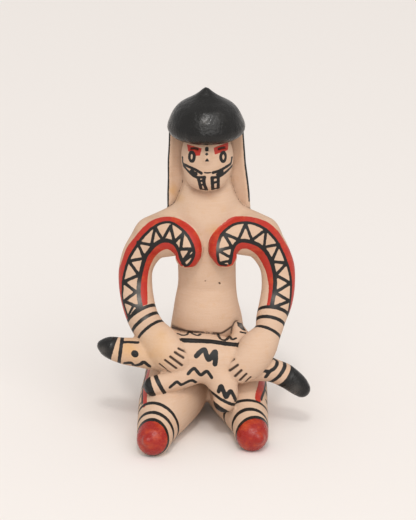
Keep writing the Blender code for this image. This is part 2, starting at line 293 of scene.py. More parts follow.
def nearLimb(limb, points):
    # Distance to a limb: the smallest of (distance to a centre on the path - radius there), the centre being
    # sharpened by a parabola through its neighbours. Also gives the direction outwards and the place along it
    path, depth = limb["path"], limb["depth"]
    (distance, normal), place = nothingNear(points), np.zeros(len(points))
    squash = np.array([1.0, depth, 1.0])
    reach = path[:, 3:].max() + margin
    low, high = path[:, :3].min(0) * squash - reach, path[:, :3].max(0) * squash + reach
    nearby = np.flatnonzero(np.all((points > low) & (points < high), axis=1))
    for block in np.array_split(nearby, len(nearby) // 15000 + 1):
        if not len(block):
            continue
        p = points[block] / squash
        lengths = np.sqrt(((p[:, None, :] - path[None, :, :3]) ** 2).sum(-1)) - path[None, :, 3]
        middle = np.clip(lengths.argmin(1), 1, len(path) - 2)
        row = np.arange(len(block))
        before, here, after = lengths[row, middle - 1], lengths[row, middle], lengths[row, middle + 1]
        t = (before - after) / np.maximum(2 * (before - 2 * here + after), 1e-6)
        t = np.clip(t, -1, 1)[:, None]
        a, b, c = path[middle - 1], path[middle], path[middle + 1]
        centre = b + t * (c - a) / 2 + t ** 2 * (c - 2 * b + a) / 2
        out = p - centre[:, :3]
        length = np.linalg.norm(out, axis=1)
        slope = out / np.maximum(length, 1e-6)[:, None] / squash
        size = np.linalg.norm(slope, axis=1)
        distance[block] = (length - centre[:, 3]) / size
        normal[block] = slope / size[:, None]
        place[block] = (middle + t[:, 0]) / pathSteps
    return distance, normal, place


def nearEgg(egg, points):
    # Distance to an egg: k0 (k0 - 1) / k1 with k0, k1 the lengths of p / axes and p / axes squared
    q = (points - np.array(egg["centre"])) / np.array(egg["axes"])
    k0 = np.linalg.norm(q, axis=1)
    slope = q / np.array(egg["axes"])
    k1 = np.maximum(np.linalg.norm(slope, axis=1), 1e-6)
    return k0 * (k0 - 1) / k1, slope / k1[:, None]


def nearCap(points):
    # Distance in the half plane (radius, height) to the closed profile; inside is negative
    distance, normal = nothingNear(points)
    profile = capProfile()
    flat = points - [hairShape["capShift"], 0, 0]
    radius = np.hypot(flat[:, 0], flat[:, 1])
    lowest = profile[:, 1].min() - margin
    nearby = np.flatnonzero((points[:, 2] > lowest) & (radius < hairShape["capRadius"] + margin))
    if not len(nearby):
        return distance, normal
    q = np.column_stack([radius, points[:, 2]])[nearby]
    start, step = profile[:-1], np.diff(profile, axis=0)
    t = np.clip(((q[:, None] - start) * step).sum(-1) / (step ** 2).sum(-1), 0, 1)
    gap = q[:, None] - start - t[..., None] * step
    length = np.linalg.norm(gap, axis=-1)
    best = length.argmin(1)
    row = np.arange(len(q))
    # inside where a level ray outwards crosses the profile an odd number of times
    above = (profile[:-1, 1] > q[:, 1:]) != (profile[1:, 1] > q[:, 1:])
    rise = np.where(step[:, 1] == 0, 1e-9, step[:, 1])
    crossing = start[:, 0] + (q[:, 1:] - start[:, 1]) * step[:, 0] / rise
    inside = ((above & (q[:, :1] < crossing)).sum(1) % 2) == 1
    side = unit(np.column_stack([-step[:, 1], step[:, 0]]))[best]
    distance[nearby] = length[row, best] * np.where(inside, -1, 1)
    spoke = flat[nearby, :2] / np.maximum(radius[nearby], 1e-6)[:, None]
    normal[nearby] = np.column_stack([spoke * side[:, :1], side[:, 1]])
    return distance, normal


def slabDistance(points):
    # Rounded box in the slab's own bent coordinates
    left, right, y = slabMiddle(points[:, 0], points[:, 2])
    bend = 4 * hairShape["slabWrap"] * (points[:, 0] - (left + right) / 2) / ((right - left) / 2) ** 2 / 2
    rounding = hairShape["slabThickness"] * 0.35
    middleHeight = hairShape["slabTop"] - hairShape["slabLength"] / 2
    q = np.column_stack([
        np.abs(points[:, 0] - (left + right) / 2) - (right - left) / 2,
        np.abs(points[:, 1] - y) / np.sqrt(1 + bend ** 2) - hairShape["slabThickness"] / 2,
        np.abs(points[:, 2] - middleHeight) - hairShape["slabLength"] / 2]) + rounding
    return np.linalg.norm(np.maximum(q, 0), axis=1) + np.minimum(q.max(1), 0) - rounding


def nearSlab(points):
    distance, normal = nothingNear(points)
    # the slab and the space round it: within 30 mm of the middle, behind y = -8, above z = 84
    nearby = np.flatnonzero((np.abs(points[:, 0]) < 30) & (points[:, 1] > -8) & (points[:, 2] > 84))
    if len(nearby):
        here = points[nearby]
        distance[nearby] = slabDistance(here)
        slope = [slabDistance(here + shift) - slabDistance(here - shift) for shift in np.eye(3) * 0.05]
        normal[nearby] = unit(np.stack(slope, -1))
    return distance, normal


def meld(a, b, width, soilAndShade=0.0):
    # Two forms worked together while soft: the smaller distance, lowered by gap * gap * width / 4 where they
    # come within width of each other. The direction outwards is shared out in the same way. The last argument
    # is how much dirt and painted shade lies in the join: its crease is darkened by both
    apart = np.abs(a[0] - b[0])
    gap = np.maximum(width - apart, 0) / width
    nearer = a[0] < b[0]
    share = np.where(nearer, 1 - gap / 2, gap / 2)[:, None]
    crease = np.where(nearer, a[2], b[2])
    crease = np.maximum(crease, np.exp(-apart / 1.6) * soilAndShade)
    return np.minimum(a[0], b[0]) - gap ** 2 * width / 4, share * a[1] + (1 - share) * b[1], crease


def smoothStep(low, high, value):
    t = np.clip((value - low) / (high - low), 0, 1)
    return t * t * (3 - 2 * t)


limbs = {}
for name, stations in limbShapes.items():
    depth, path = limbDepths.get(name, 1.0), splinePath(stations, pathSteps)
    path[:, 1] /= depth
    limbs[name] = {"stations": stations, "depth": depth, "path": path}


def measureDoll(points):
    # Distance, outward direction and crease darkness (dirt and painted shade) of the whole doll, and the
    # distance to each form by name
    join, soilAndShade = joinWidths, joinSoilAndShade
    near = {name: nearLimb(limb, points) for name, limb in limbs.items()}
    near.update({name: nearEgg(egg, points) for name, egg in headShapes.items()})
    near["cap"], near["slab"] = nearCap(points), nearSlab(points)
    form = {name: (found[0], found[1], np.zeros(len(points))) for name, found in near.items()}
    trunk = meld(meld(form["torso"], form["neck"], join["neck"]), form["shoulders"], join["shoulders"])
    left, right = [meld(form["leg" + side], form["toe" + side], join["toe"]) for side in ("Left", "Right")]
    whole = meld(trunk, meld(left, right, join["legs"]), join["seat"])
    animal = form["animalBody"]
    for name, width in join["animalLegs"].items():
        animal = meld(animal, form["animalLeg" + name], width)
    # The join under the belly's overhang is darkened more, with dirt and painted shade
    belly = smoothStep(42, 46, points[:, 2])
    whole = meld(whole, animal, join["animal"], soilAndShade["animal"] + soilAndShade["belly"] * belly)
    for side in ("Left", "Right"):
        # An arm is joined most widely at its shoulder and least near its hand; place counts its stations
        place = near["arm" + side][2]
        width = 1.2 + 0.8 * smoothStep(1.8, 3.2, place) - 1.0 * smoothStep(6.0, 9.5, place)
        arm = meld(form["arm" + side], form["hand" + side], join["hand"])
        whole = meld(whole, arm, width, soilAndShade["arm"])
    head = meld(meld(form["head"], form["chin"], join["chin"]), form["nose"], join["nose"])
    # The join under the chin is darkened more, with dirt and painted shade
    chin = smoothStep(9, 5, np.abs(points[:, 0])) * smoothStep(126, 122, points[:, 2])
    whole = meld(whole, head, join["head"], soilAndShade["head"] + soilAndShade["chin"] * chin)
    for name in ("slab", "cap"):
        whole = meld(whole, form[name], join[name], soilAndShade[name])
    return whole, {name: found[0] for name, found in form.items()}


def settle(points, rounds=1):
    # Move each point along the outward direction on to the surface; nothing goes under the floor
    for _ in range(rounds):
        distance, normal, _ = measureDoll(points)[0]
        steep = np.maximum((normal ** 2).sum(1), 0.4)
        points = points - (np.clip(distance, -1, 1) / steep)[:, None] * normal
        points[:, 2] = np.maximum(points[:, 2], 0)
    return points


def neighbourMean(points, triangles):
    ends = np.vstack([triangles[:, [0, 1]], triangles[:, [1, 2]], triangles[:, [2, 0]]])
    ends = np.vstack([ends, ends[:, ::-1]])
    count = np.bincount(ends[:, 0], minlength=len(points))
    total = np.column_stack([np.bincount(ends[:, 0], points[ends[:, 1], i], len(points)) for i in range(3)])
    return total / np.maximum(count, 1)[:, None]


def fusedSkin():
    # All the forms' skins in one mesh, fused by a voxel remesh and cut into triangles
    skins = [limbSkin(limb) for limb in limbs.values()]
    skins += [eggSkin(egg) for egg in headShapes.values()] + [capSkin(), slabSkin()]
    starts = np.cumsum([0] + [len(points) for points, _ in skins[:-1]])
    points = np.vstack([points for points, _ in skins])
    faces = np.vstack([quads + start for (_, quads), start in zip(skins, starts)])
    mesh = bpy.data.meshes.new("forms")
    mesh.from_pydata(points.tolist(), [], faces.tolist())
    lump = placed("forms", mesh)
    fuse = lump.modifiers.new("fuse", "REMESH")
    fuse.mode = "VOXEL"
    fuse.voxel_size = surfaceFinish["grain"]
    fused = bpy.data.meshes.new_from_object(lump.evaluated_get(bpy.context.evaluated_depsgraph_get()))
    fused.calc_loop_triangles()
    places = np.empty(len(fused.vertices) * 3)
    fused.vertices.foreach_get("co", places)
    triangles = np.empty(len(fused.loop_triangles) * 3, int)
    fused.loop_triangles.foreach_get("vertices", triangles)
    bpy.data.objects.remove(lump)
    bpy.data.meshes.remove(mesh)
    bpy.data.meshes.remove(fused)
    return places.reshape(-1, 3), triangles.reshape(-1, 3)


def splitWhere(points, triangles, chosen):
    # Each chosen triangle becomes four; a neighbour with one split side becomes two, with more, four
    ends = np.sort(triangles[:, [0, 1, 1, 2, 2, 0]].reshape(-1, 2), axis=1)
    keys, back = np.unique(ends[:, 0] * len(points) + ends[:, 1], return_inverse=True)
    sides = back.reshape(-1, 3)
    split = np.zeros(len(keys), bool)
    split[sides[chosen]] = True
    while (split[sides].sum(1) == 2).any():
        split[sides[split[sides].sum(1) == 2]] = True
    middle = np.full(len(keys), -1)
    middle[split] = len(points) + np.arange(split.sum())
    pair = np.column_stack([keys // len(points), keys % len(points)])[split]
    points = np.vstack([points, points[pair].mean(1)])
    count = split[sides].sum(1)
    parts = [triangles[count == 0]]
    one, oneSides = triangles[count == 1], sides[count == 1]
    order = (split[oneSides].argmax(1)[:, None] + np.arange(3)) % 3
    a, b, c = np.take_along_axis(one, order, 1).T
    m = middle[np.take_along_axis(oneSides, order, 1)[:, 0]]
    parts += [np.column_stack([a, m, c]), np.column_stack([m, b, c])]
    a, b, c = triangles[count == 3].T
    ab, bc, ca = middle[sides[count == 3]].T
    parts += [np.column_stack(corners) for corners in ((a, ab, ca), (b, bc, ab), (c, ca, bc), (ab, bc, ca))]
    return points, np.vstack(parts)


# Each red band on an arm shares an edge with the black line painted along it
sharedEdges = {
    "outerLeft": [
        (128.4, 259.4), (134.9, 248), (140.6, 239.4), (147.7, 231.6), (154.9, 225.9), (162, 222.6),
        (169.1, 222), (176.3, 225.1), (184.9, 232.3), (190.6, 240.9), (193.7, 249.4), (193.4, 256.6),
        (189.9, 263)],
    "innerLeft": [
        (144.1, 259.4), (149.1, 250.9), (154.9, 244.4), (162, 240.6), (169.1, 240.9), (174.9, 244.4),
        (178.4, 250.9)],
    "outerRight": [
        (217.6, 250.9), (218.6, 242.3), (222.1, 233.7), (227.9, 228), (235, 223.7), (245, 222.3),
        (255, 223.7), (265, 228.7), (272.1, 235.1), (279.3, 245.1), (286.4, 260.9), (290, 272.3),
        (291.4, 283.7), (290.7, 299.4)],
    "innerRight": [
        (270.7, 259.4), (265.7, 250.9), (259.3, 245.1), (250.7, 241.6), (242.1, 240.6), (235.7, 243.7),
        (232.9, 249.4)],
}
# Marks seen from the front, in the photograph's pixels. Lines are (width, points)
armMarks = {
    "Left": {
        "redBands": [
            [(112, 330), (112, 300), (114, 280), (120.4, 264), (126.3, 248), (133.4, 238), (140.6, 229.4),
             (149.1, 221.6), (159.1, 217.3), (169.1, 216.3), (179.1, 218.7), (189.1, 224.4), (196.3, 232.3),
             (200.6, 240.9), (202, 249.4), (200.6, 258), (197.7, 263.7), (192, 266.8), (183.4, 266.9),
             *sharedEdges["outerLeft"][::-1], (124.9, 269.4), (122.7, 282.3), (122, 293.7), (128.2, 319.4)],
            [(140.6, 306.6), (138.4, 293.7), (139.1, 279.4), *sharedEdges["innerLeft"], (183.4, 263.7),
             (181, 266), (177, 260), (173.6, 253.2), (168, 249.2), (163, 250), (157.7, 253.6), (152.2, 261),
             (148.6, 271), (147.2, 284), (147.4, 304)]],
        "curves": [
            (2.5, [(128.2, 319.4), (122.6, 300), (122.2, 288), (123.4, 276), *sharedEdges["outerLeft"],
                   (185.8, 265.6), (182.5, 263.5)]),
            (3.7, [(140.6, 307.6), (138.6, 293.7), (139.3, 279.4), *sharedEdges["innerLeft"],
                   (180.8, 258), (184, 264)])],
        "zigzags": [
            (2.7, [(128.4, 318.4), (138.4, 307), (123.8, 301), (136, 291.8), (122.6, 281.8), (138.6, 275),
                   (128.6, 261), (143.8, 258), (137.4, 242.2), (151.2, 244.8), (154.9, 227), (162.4, 240),
                   (170.4, 225.6), (174.2, 241.8), (182.8, 233.4), (180.4, 249), (191.8, 248.6),
                   (182.4, 261.6), (192.8, 254.4)]),
            (2.2, [(127.8, 316), (133, 306)])],
    },
    "Right": {
        "redBands": [
            [(304, 320), (306, 296), (301, 270), (292, 253), (286.4, 243.7), (279.3, 232.3), (270.7, 223.7),
             (262.1, 219.4), (252.1, 216.6), (240.7, 215.9), (229.3, 217.3), (220.7, 221.6), (213.6, 229.4),
             (209.3, 239.4), (208.4, 249.4), (209.3, 256.6), (212.1, 262.3), (219.3, 265.9), (229.3, 266.2),
             (234, 263), (226, 264), (220, 262.5), *sharedEdges["outerRight"], (288.4, 314.4)],
            [(272.1, 305.3), (275, 288), (275, 276.6), *sharedEdges["innerRight"], (230.7, 263),
             (232.6, 265), (236.4, 258), (238.6, 251.6), (242.9, 248.7), (249.3, 249.4), (256.4, 254.4),
             (262.1, 262.3), (266.4, 272.3), (268.6, 283.7), (268.6, 293.7), (267, 305.3)]],
        "curves": [
            (2.5, [(288.6, 314.4), *sharedEdges["outerRight"][::-1], (217.9, 258), (220, 263.7),
                   (226, 264.8)]),
            (3.5, [(272.1, 305.3), (275, 288), (275, 276.6), (273.6, 268), *sharedEdges["innerRight"],
                   (231.4, 256.6), (230.2, 263)])],
        "zigzags": [
            (2.6, [(220.7, 249.4), (232.1, 247), (223.6, 233), (238.6, 239.4), (245.7, 223.6),
                   (252.1, 239.8), (266.4, 229.4), (264.3, 246.8), (279.3, 244.2), (272.1, 261.2),
                   (287.1, 263), (275.9, 275), (291, 283), (275.3, 292.3), (290, 300.9), (273.6, 307)]),
            (2.4, [(220, 251.4), (230, 256.8)]), (2.4, [(220.5, 262.6), (230, 260.7)])],
    },
}

faceMarks = {
    "redAreas": [
        [(186.8, 143.8), (201.8, 147.9), (200, 155.4), (196, 155.4), (187.9, 150.5)],
        [(213.8, 147.4), (228.6, 141.8), (228.1, 149.6), (221, 152.3), (214.7, 154.3)]],
    "ovals": [(2.8, (191.7, 156.3), (2.5, 4.5)), (2.8, (223.4, 156.6), (2.5, 4.5))],
    "blackAreas": [
        [(204.8, 153.8), (206.7, 151.9), (208.7, 153.8), (206.7, 155.6)],
        [(204.6, 161.2), (207.1, 157.6), (209.7, 161.2)]],
    "curves": [
        (3.0, [(206.8, 148.2), (206.8, 149.4)]),
        (2.7, [(182.4, 157.7), (183, 163), (188.4, 166.2), (195.1, 169.3), (201.1, 172.9)]),
        (2.7, [(183.5, 165.7), (188.4, 171.1), (192.9, 175.1), (196.4, 176.9)]),
        (3.6, [(191.6, 171), (195.6, 173.4)]), (0.9, [(204.6, 172.3), (207.6, 172.5), (210.6, 172.2)]),
        (2.7, [(231.9, 157.7), (230.8, 163), (226.3, 166.6), (219.6, 170.2), (213.4, 172.2)]),
        (2.7, [(232.1, 165.7), (227.7, 170.2), (221.9, 174.6), (217.9, 176.4)]),
        (3.4, [(218, 174.2), (222, 171.6)]),
        (2.8, [(198.2, 177.3), (199.6, 183.6), (200.9, 188.5)]),
        (2.8, [(204.5, 176.9), (204, 182.7), (206.3, 189.4)]),
        (2.8, [(212.1, 177.3), (212.9, 188.9)]),
        (2.8, [(218.3, 176.9), (218.3, 187.6)])],
    "zigzags": [
        (2.2, [(198.2, 177.1), (204.5, 176.9)]), (2.0, [(199.5, 181.2), (204.2, 179.8)]),
        (2.4, [(201, 189), (206.3, 189.4)]), (2.2, [(212.1, 177.2), (218.3, 176.9)]),
        (2.2, [(212.6, 182.6), (218.3, 181.6)]), (2.2, [(212.9, 188.6), (218.1, 187.9)]),
        (1.6, [(200.2, 185), (204.6, 184)])],
    "slits": [(1.6, [(190.6, 147.9), (194.2, 147.6), (197.5, 148.6)]),
              (1.6, [(219, 148.4), (222.5, 147.3), (225.2, 147)])],
}

animalMarks = {
    "blackAreas": [[(236.8, 321.4), (242, 323), (246.5, 331), (242.3, 329.6), (237.6, 325.6)]],
    "curves": [
        (3.0, [(122.7, 341.8), (130, 341.7), (137.4, 342.3)]),
        (3.2, [(124.7, 363.3), (130.8, 362.8), (134.4, 365.3), (140, 364.3), (143.6, 362.2), (149.2, 366.3)]),
        (6.4, [(134.4, 353.6), (134.8, 354)]),
        (2.4, [(169.9, 387.4), (173.4, 384.4), (177, 381.9), (181.4, 384.8), (186.4, 382.4), (191.8, 380.4),
               (195.8, 382.2)]),
        (2.6, [(178, 339.4), (183, 339.6)]),
        (5.6, [(183, 339.8), (195.9, 340.4), (210, 341), (226, 343.2), (241.5, 344.9)]),
        (2.4, [(177.8, 333.5), (182, 335), (186.5, 334.6), (189.4, 332.4), (193, 333.9), (197.5, 335.4),
               (200, 334.2)]),
        (2.5, [(217.8, 334.6), (221.1, 338.9), (225.6, 339.7), (229.4, 336.9), (232.2, 339.4),
               (235.6, 338.3)]),
        (4.4, [(196.3, 355.9), (200.5, 351.5), (204.4, 349.6), (206.4, 355), (208.8, 359.5), (212, 355.4),
               (215.2, 351.6), (215.6, 358), (215, 364)]),
        (2.7, [(188, 373.8), (191, 370.4), (194.4, 368.6), (197.8, 372.4), (201.1, 375), (204.2, 372.6),
               (207.2, 371.4), (209.6, 374.4), (211.7, 377.6)]),
        (3.7, [(218.5, 391.4), (219.6, 388.4), (221.3, 386.2), (223.4, 391), (226.2, 397), (228.4, 393.6),
               (230.9, 391.2), (234, 395.4), (236, 400)]),
        (3.0, [(272.6, 357.6), (277.3, 361.6), (275.3, 367.6), (269.9, 371.6), (265.9, 377)]),
        (1.6, [(240.6, 331.7), (247.8, 333.3)]),
        (2.4, [(163.5, 325.5), (168.5, 324.2)])],
    "zigzags": [
        (3.0, [(268.6, 371.6), (261.9, 370.3), (258.5, 375.3)])],
}

handMarks = {
    # lines pressed into the clay between the fingers
    "slits": [
        (1.8, [(178.8, 348.3), (189.3, 352.9)]), (1.8, [(175, 352.3), (183.7, 357.7)]),
        (1.8, [(170.2, 356.9), (182.1, 365.6)]), (1.8, [(164.8, 360.5), (176, 368.7)]),
        (1.8, [(159.4, 364.6), (170.8, 373.4)]), (1.5, [(233.9, 359), (224.7, 365.4)]),
        (1.8, [(237.7, 364.9), (229.8, 370.5)]), (1.8, [(241.5, 370.5), (234.9, 376.6)]),
        (1.8, [(246.6, 374.3), (240, 380.7)]), (1.8, [(250.7, 377.7), (245.2, 383)]),
        (1.5, [(255.8, 378.7), (252.8, 381.7)])],
}

# Two small specks on the belly
bodyMarks = {
    "slits": [(0.8, [(219.5, 283), (220.3, 283.6)]), (0.3, [(205, 281), (205.3, 281)])],
}

# Rings and dipped ends go right round a limb: a point on the ring, the way it faces, its width in mm
ringMarks = {
    "armLeft": [
        ((-30.6, -15.7, 58.3), (0.49, -0.56, -0.66), 1.75),
        ((-30.0, -19.6, 54.5), (0.56, -0.54, -0.62), 1.95),
        ((-28.0, -24.4, 51.7), (0.59, -0.54, -0.61), 1.75)],
    "armRight": [
        ((33.0, -16.0, 58.8), (-0.13, -0.73, -0.67), 1.75),
        ((30.9, -20.1, 55.9), (-0.18, -0.72, -0.67), 1.95),
        ((30.3, -24.6, 51.1), (-0.34, -0.66, -0.67), 1.75)],
    "animalBody": [
        ((-41.6, -27.6, 41.9), (0.99, -0.03, -0.13), 1.75),
        ((34.3, -29.4, 30.0), (0.72, 0.17, -0.67), 1.75)],
    "animalLegLowLeft": [((-22.6, -37.5, 28.4), (-0.88, -0.08, -0.47), 1.95)],
    "animalLegLowRight": [((8.0, -40.5, 21.6), (-0.46, -0.12, -0.88), 1.5)],
    "legLeft": [
        ((-20.4, -44.0, 15.1), (-0.43, -0.90, -0.09), 1.75),
        ((-22.3, -49.6, 13.5), (-0.34, -0.94, 0.08), 1.95),
        ((-22.9, -54.9, 13.6), (-0.30, -0.89, 0.34), 1.75)],
    "legRight": [
        ((23.1, -34.0, 16.1), (0.02, -0.93, -0.35), 1.75),
        ((20.9, -41.5, 13.7), (0.04, -0.99, 0.10), 2.3),
        ((20.6, -47.8, 12.1), (0.34, -0.94, 0.02), 2.2)],
}
blackEnds = {
    "animalBody": [((-44.6, -26.8, 42.8), (-0.95, 0.15, 0.26)), ((37.4, -29.4, 28.4), (0.77, 0.17, -0.61))],
    "animalLegLowLeft": [((-25.9, -38.2, 27.7), (-0.94, 0.0, -0.33))],
    "animalLegLowRight": [((6.4, -40.1, 18.6), (-0.56, -0.22, -0.80))],
}
paintReach = {
    "mark": 1.5,              # mm past a form's crease that its marks are worked out
    "ring": 24.0,             # mm from its point that a ring may reach
    "end": 18.0,              # mm from its point that a dipped end may reach
    "turnedAway": -0.08,      # marks stop where the surface faces the eye by less than this
    "ontoTorso": 0.35,        # the same for the animal's marks where they run on to the body
    "feet": (-44, -47),       # mm forward where the legs' red becomes the feet's deeper red
}


def zigzag(first, last, low, high, count):
    # Nodes that alternate between two heights from first to last
    return [(y, high if i % 2 else low) for i, y in enumerate(np.linspace(first, last, count))]


# The painted outer side of each leg, laid flat: mm forward (y) and mm round from the top.
# Lines are (width, points). reach is how far from centre, on the side it faces, the panel goes
panelMarks = {
    "panelRadius": 12.5, "centre": (17, -16, 12), "reach": 34.0, "skin": 0.5,
    "Left": {
        "redLines": [(2.6, [(3, 11.8), (-20, 11.8), (-40, 9.9)]), (2.4, [(3, 23.6), (-36, 22.4)])],
        "blackLines": [(1.3, [(3, 13.8), (-20, 13.8), (-37, 12.2)]), (1.3, [(3, 21.9), (-35, 20.7)]),
                       (1.3, [(3, 13.8), (3, 21.9)]), (1.2, zigzag(3, -35, 13.8, 21.4, 11))]},
    "Right": {
        "redLines": [(3.6, [(3, 13.4), (-12, 13.3), (-22, 10.8), (-33, 7.2)]),
                     (2.4, [(3, 23.6), (-30, 22.0)])],
        "blackLines": [(1.3, [(3, 15.8), (-12, 15.7), (-22, 13.2), (-31, 9.9)]),
                       (1.3, [(3, 21.9), (-30, 20.3)]), (1.3, [(3, 15.8), (3, 21.9)]),
                       (1.2, zigzag(3, -30, 14.6, 21.2, 10))]},
}

# Soft patches seen from the front: across, down and radius in pixels, and strength
softPatches = {
    "stain": [(173, 190, 5, 0.8), (179, 198, 5, 0.7), (128, 350, 12, 1.0), (157, 352, 15, 0.7),
              (160, 333, 8, 0.5), (215, 231, 6, 1.0), (250, 425, 9, 0.5), (158, 432, 8, 0.5),
              (176, 322, 6, 0.3), (220, 400, 6, 0.3)],
    # the shadow under the chin
    "shade": [(194, 190, 4.0, 0.5), (200, 193, 4.5, 0.42), (206, 194.3, 4.5, 0.42),
              (212, 193.6, 4.5, 0.42), (218, 190.5, 4.0, 0.35), (191, 184, 4.0, 0.3), (223, 186, 4.0, 0.2)],
    # where the black is rubbed thin, with painted sheen: the grey on the left arm's inner black line and on
    # the cap's front is a painted highlight
    "wearAndSheen": [(139.6, 300, 7, 1.0), (139, 286, 5, 0.6), (217.6, 246, 6, 0.9), (146, 319, 4, 0.7),
             (241.5, 326, 3, 0.8), (274, 298, 5, 0.5), (205, 121, 3, 0.3), (102, 350, 4, 0.3),
             (295, 390, 5, 0.3)],
}
# Painted shade and soil along a crease, seen from the front: the dark line under the belly's overhang and the
# dark edges between face and hair are painted shade as well as dirt. Reach in pixels, strength, points
shadeAndSoilLines = [
    (1.5, 1.0, [(169, 326), (173, 327.6), (180.6, 329.6), (190, 331.2), (204.4, 332.2), (216, 333),
                (221.5, 332.8), (226.7, 329.8), (232.2, 326), (236.9, 322)]),
    (2.4, 0.8, [(172, 325.4), (178, 328), (184, 330)]),
    (2.2, 0.45, [(180.5, 150), (180.5, 170), (184, 180), (181, 190), (177, 200)]),
    (2.2, 0.45, [(233, 150), (233, 168), (231, 180), (235, 192), (241, 201)]),
    (2.5, 0.45, [(165, 330), (160, 325)]),
]


def readPicture(points):
    # Where the eye sees each point: pixels across and down, and millimetres to a pixel at that depth
    offset = points - eyePlace
    away = -(offset @ towardEye)
    scale = photograph["mmPerPixel"] / photograph["distance"] * away
    across = photograph["middle"][0] + offset @ pictureRight / scale
    down = photograph["middle"][1] - offset @ pictureUp / scale
    return np.column_stack([across, down]), scale


def lineDistance(flat, line):
    # Distance in a plane to a line of straight steps, and the way from the line to the point
    line = np.array(line, float)
    nearest, gap = np.full(len(flat), 1e6), np.zeros_like(flat)
    for a, along in zip(line[:-1], np.diff(line, axis=0)):
        t = np.clip((flat - a) @ along / max(along @ along, 1e-9), 0, 1)
        here = flat - a - t[:, None] * along
        length = np.hypot(here[:, 0], here[:, 1])
        better = length < nearest
        nearest[better], gap[better] = length[better], here[better]
    return nearest, gap / np.maximum(nearest, 1e-6)[:, None]


def strokeDistance(seen, normals, scale, line):
    # Millimetres from each point to a drawn line: the distance in the picture divided by how far the surface
    # slants away across the line, so a stroke keeps the brush's width on the clay
    nearest, side = lineDistance(seen, line)
    lean = (side[:, :1] * pictureRight - side[:, 1:] * pictureUp) * normals
    slant = np.sqrt(np.clip(1 - lean.sum(1) ** 2, 0.12, 1))
    return nearest * scale / slant


def areaDistance(seen, normals, scale, outline):
    # Distance to a closed outline, negative inside it, where a ray crosses it an odd number of times
    outline = np.array(outline, float)
    closed = np.vstack([outline, outline[:1]])
    distance = strokeDistance(seen, normals, scale, closed)
    inside = np.zeros(len(seen), bool)
    for (x0, y0), (x1, y1) in zip(closed[:-1], closed[1:]):
        between = (y0 > seen[:, 1]) != (y1 > seen[:, 1])
        inside ^= between & (seen[:, 0] < x0 + (seen[:, 1] - y0) * (x1 - x0) / ((y1 - y0) or 1e-9))
    return np.where(inside, -distance, distance)


def smoothed(line):
    return splinePath(line, 5) if len(line) > 2 else np.array(line, float)


def ovalLine(centre, axes):
    a = np.linspace(0, 2 * np.pi, 17)
    return np.column_stack([centre[0] + axes[0] * np.cos(a), centre[1] + axes[1] * np.sin(a)])


def frontMarks(points, normals, marks, least):
    # Black, red and pressed-in distances of a set of front marks, where the surface faces the eye by least
    seen, scale = readPicture(points)
    nothing = np.full(len(points), farAway)

    def strokes(lines):
        found = [strokeDistance(seen, normals, scale, line)
                 - (width + photograph["brushSwell"]) / 2 * photograph["mmPerPixel"] for width, line in lines]
        return np.minimum.reduce(found + [nothing])

    def areas(outlines):
        return np.minimum.reduce([areaDistance(seen, normals, scale, line) for line in outlines] + [nothing])

    def rounded(name):
        return [(width, smoothed(line)) for width, line in marks.get(name, [])]

    ovals = [(width, ovalLine(centre, axes)) for width, centre, axes in marks.get("ovals", [])]
    black = strokes(rounded("curves") + marks.get("zigzags", []) + ovals)
    black = np.minimum(black, areas(marks.get("blackAreas", [])))
    red = areas(marks.get("redAreas", []) + [smoothed(line) for line in marks.get("redBands", [])])
    behind = (least - normals @ towardEye) * 8
    return [np.maximum(found, behind) for found in (black, red, strokes(rounded("slits")))]


def shadeAndSoilLine(points, normals):
    # Painted shade and soil along the creases: the strongest of strength * exp(-(distance / reach) squared)
    # on the side that faces the eye
    seen = readPicture(points)[0]
    found = [strength * np.exp(-(lineDistance(seen, smoothed(line))[0] / reach) ** 2)
             for reach, strength, line in shadeAndSoilLines]
    return np.maximum.reduce(found) * smoothStep(0.08, 0.3, normals @ towardEye)


def softPatch(points, normals, name):
    # Sum of strength * exp(-(distance / radius) squared) on the side that faces the eye
    seen = readPicture(points)[0]
    total = sum(strength * np.exp(-((seen - (x, y)) ** 2).sum(1) / radius ** 2)
                for x, y, radius, strength in softPatches[name])
    return total * smoothStep(-0.1, 0.3, normals @ towardEye)


